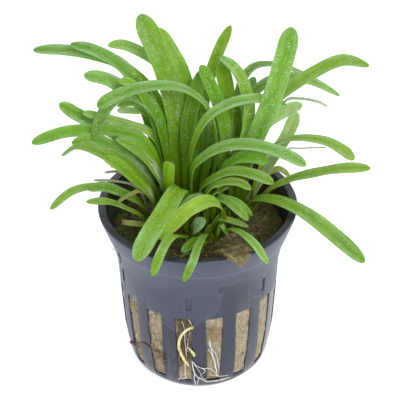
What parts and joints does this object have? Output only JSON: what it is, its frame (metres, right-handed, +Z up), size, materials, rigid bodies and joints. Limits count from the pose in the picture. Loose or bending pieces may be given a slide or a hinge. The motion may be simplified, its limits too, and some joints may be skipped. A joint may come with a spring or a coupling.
{
  "type": "potted amazon sword plant",
  "caption": "Young amazon sword plant: arching strap leaves from clustered crowns, rooted in a mineral wool plug in a slotted plastic net pot.",
  "frame": {"origin": "centre of the pot's flat foot, on the ground", "axes": "+Z up through the plant, front of the plant towards -Y, +X to the viewer's right"},
  "size_m": [0.0924, 0.0686, 0.101],
  "materials": {
    "pot_plastic": "grey-blue moulded polyethylene, satin, with a damp film",
    "rock_wool": "damp fibrous mineral wool, beige with brown patches, mossy on top",
    "moss": "old olive-brown moss with a pale edge",
    "crown": "pale green leaf bases, smooth",
    "leaf": "waxy bright green leaf, wet and glossy",
    "root": "cream-yellow and white living roots"
  },
  "bodies": {
    "root": {"pot": "pot_plastic", "rock_wool": "rock_wool", "moss_flap": "moss", "crown_back": "crown", "crown_front": "crown", "crown_left": "crown", "crown_main": "crown", "crown_right": "crown", "leaf_back_01": "leaf", "leaf_back_02": "leaf", "leaf_front_01": "leaf", "leaf_front_02": "leaf", "leaf_front_03": "leaf", "leaf_front_04": "leaf", "leaf_front_05": "leaf", "leaf_front_06": "leaf", "leaf_front_07": "leaf", "leaf_front_08": "leaf", "leaf_front_09": "leaf", "leaf_front_10": "leaf", "leaf_left_01": "leaf", "leaf_left_02": "leaf", "leaf_left_03": "leaf", "leaf_left_04": "leaf", "leaf_main_01": "leaf", "leaf_main_02": "leaf", "leaf_main_03": "leaf", "leaf_main_04": "leaf", "leaf_main_05": "leaf", "leaf_main_06": "leaf", "leaf_main_07": "leaf", "leaf_main_08": "leaf", "leaf_main_09": "leaf", "leaf_main_10": "leaf", "leaf_main_11": "leaf", "leaf_main_12": "leaf", "leaf_main_13": "leaf", "leaf_main_14": "leaf", "leaf_main_15": "leaf", "leaf_main_16": "leaf", "leaf_main_17": "leaf", "leaf_main_18": "leaf", "leaf_main_19": "leaf", "leaf_right_01": "leaf", "leaf_right_02": "leaf", "leaf_right_03": "leaf", "leaf_right_04": "leaf", "leaf_right_05": "leaf", "leaf_right_06": "leaf", "leaf_right_07": "leaf", "leaf_right_08": "leaf", "leaf_right_09": "leaf", "leaf_right_10": "leaf", "leaf_right_11": "leaf", "leaf_right_12": "leaf", "leaf_right_13": "leaf", "leaf_right_14": "leaf", "root_long": "root", "root_short": "root", "root_thick": "root"}
  },
  "joints": []
}
